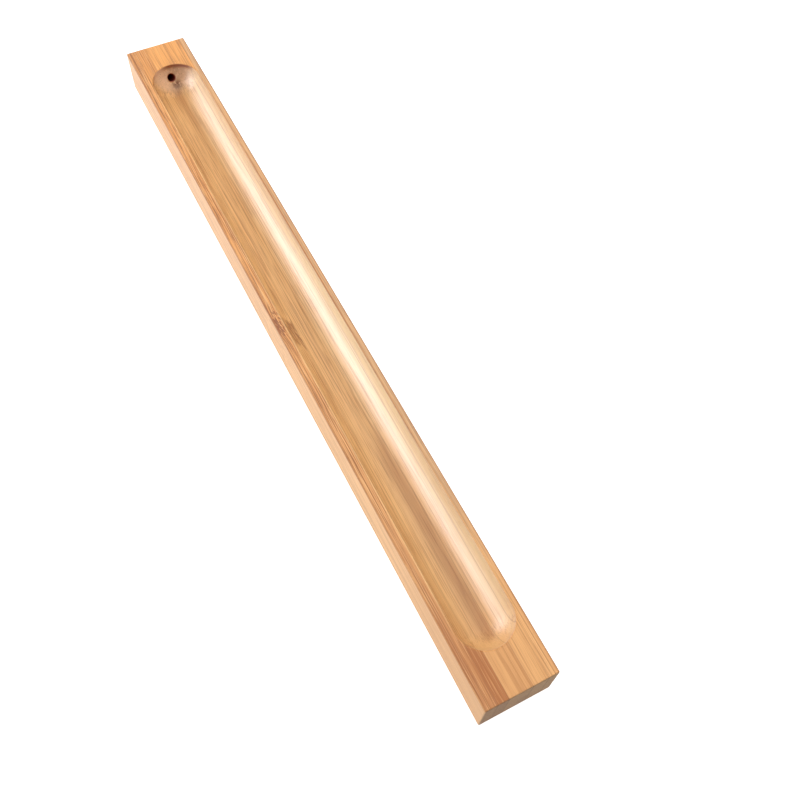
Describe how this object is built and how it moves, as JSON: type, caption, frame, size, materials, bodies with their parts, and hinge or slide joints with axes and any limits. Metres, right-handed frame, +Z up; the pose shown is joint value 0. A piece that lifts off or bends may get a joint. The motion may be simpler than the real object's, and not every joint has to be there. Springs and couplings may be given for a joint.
{
  "type": "incense stick holder",
  "caption": "Long low bar of laminated bamboo strips with a half-round ash trough along its top and a slanting stick hole in the trough's end wall.",
  "frame": {"origin": "centre of the underside, on the surface that the bar lies on", "axes": "+X along the bar, from the end with the stick hole to the plain end; +Z up out of the trough; +Y across the bar, to the right in the picture"},
  "size_m": [0.24, 0.02, 0.014],
  "materials": {
    "bamboo_mid": "satin clear-lacquered bamboo, honey tan, with fine lengthwise fibres",
    "bamboo_dark": "satin clear-lacquered bamboo, red-brown, with fine lengthwise fibres and one node mark",
    "bamboo_light": "satin clear-lacquered bamboo, light tan, with fine lengthwise fibres"
  },
  "bodies": {
    "root": {"left_outer_strip": "bamboo_mid", "left_inner_strip": "bamboo_dark", "centre_strip": "bamboo_light", "right_inner_strip": "bamboo_light", "right_outer_strip": "bamboo_mid"}
  },
  "joints": []
}
